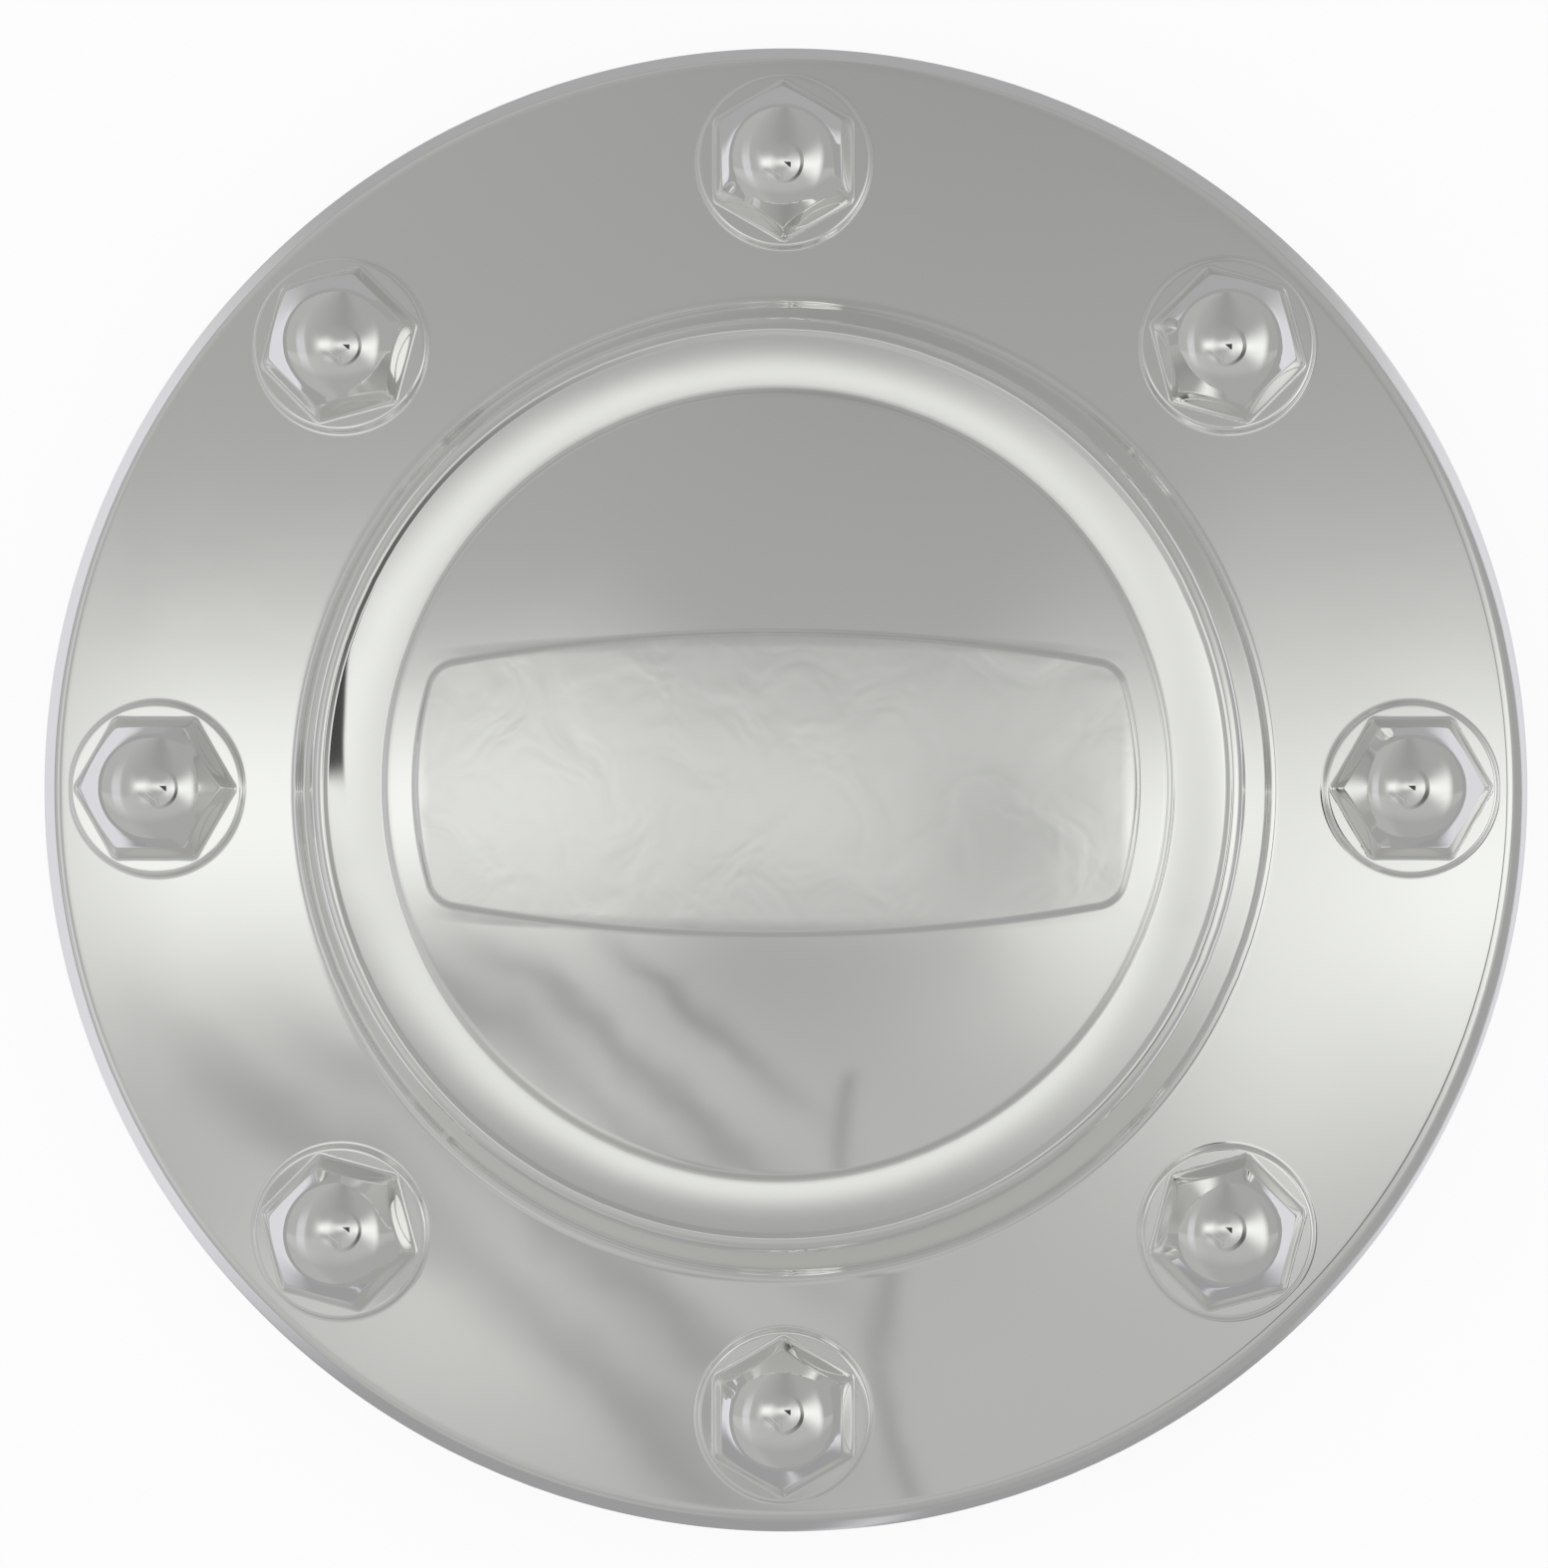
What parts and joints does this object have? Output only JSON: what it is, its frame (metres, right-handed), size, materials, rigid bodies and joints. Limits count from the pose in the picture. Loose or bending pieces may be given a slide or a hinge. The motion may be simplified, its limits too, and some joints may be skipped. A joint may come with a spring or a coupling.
{
  "type": "wheel center cap",
  "caption": "Round chrome-plated centre cap for a wheel: domed middle with a bare raised panel, ring of domed dummy nuts, snap legs and wire ring behind.",
  "frame": {"origin": "on the rest plane through the leg tips, on the cap's axis", "axes": "+Z along the axis, out of the visible face; +X along the raised panel, to the right in the picture; +Y up in the picture"},
  "size_m": [0.2286, 0.2286, 0.0336],
  "materials": {
    "chrome_plating": "mirror-bright decorative chrome over moulded plastic",
    "spring_steel": "drawn spring wire, satin zinc"
  },
  "bodies": {
    "root": {"cap_shell": "chrome_plating", "retaining_ring": "spring_steel"}
  },
  "joints": []
}
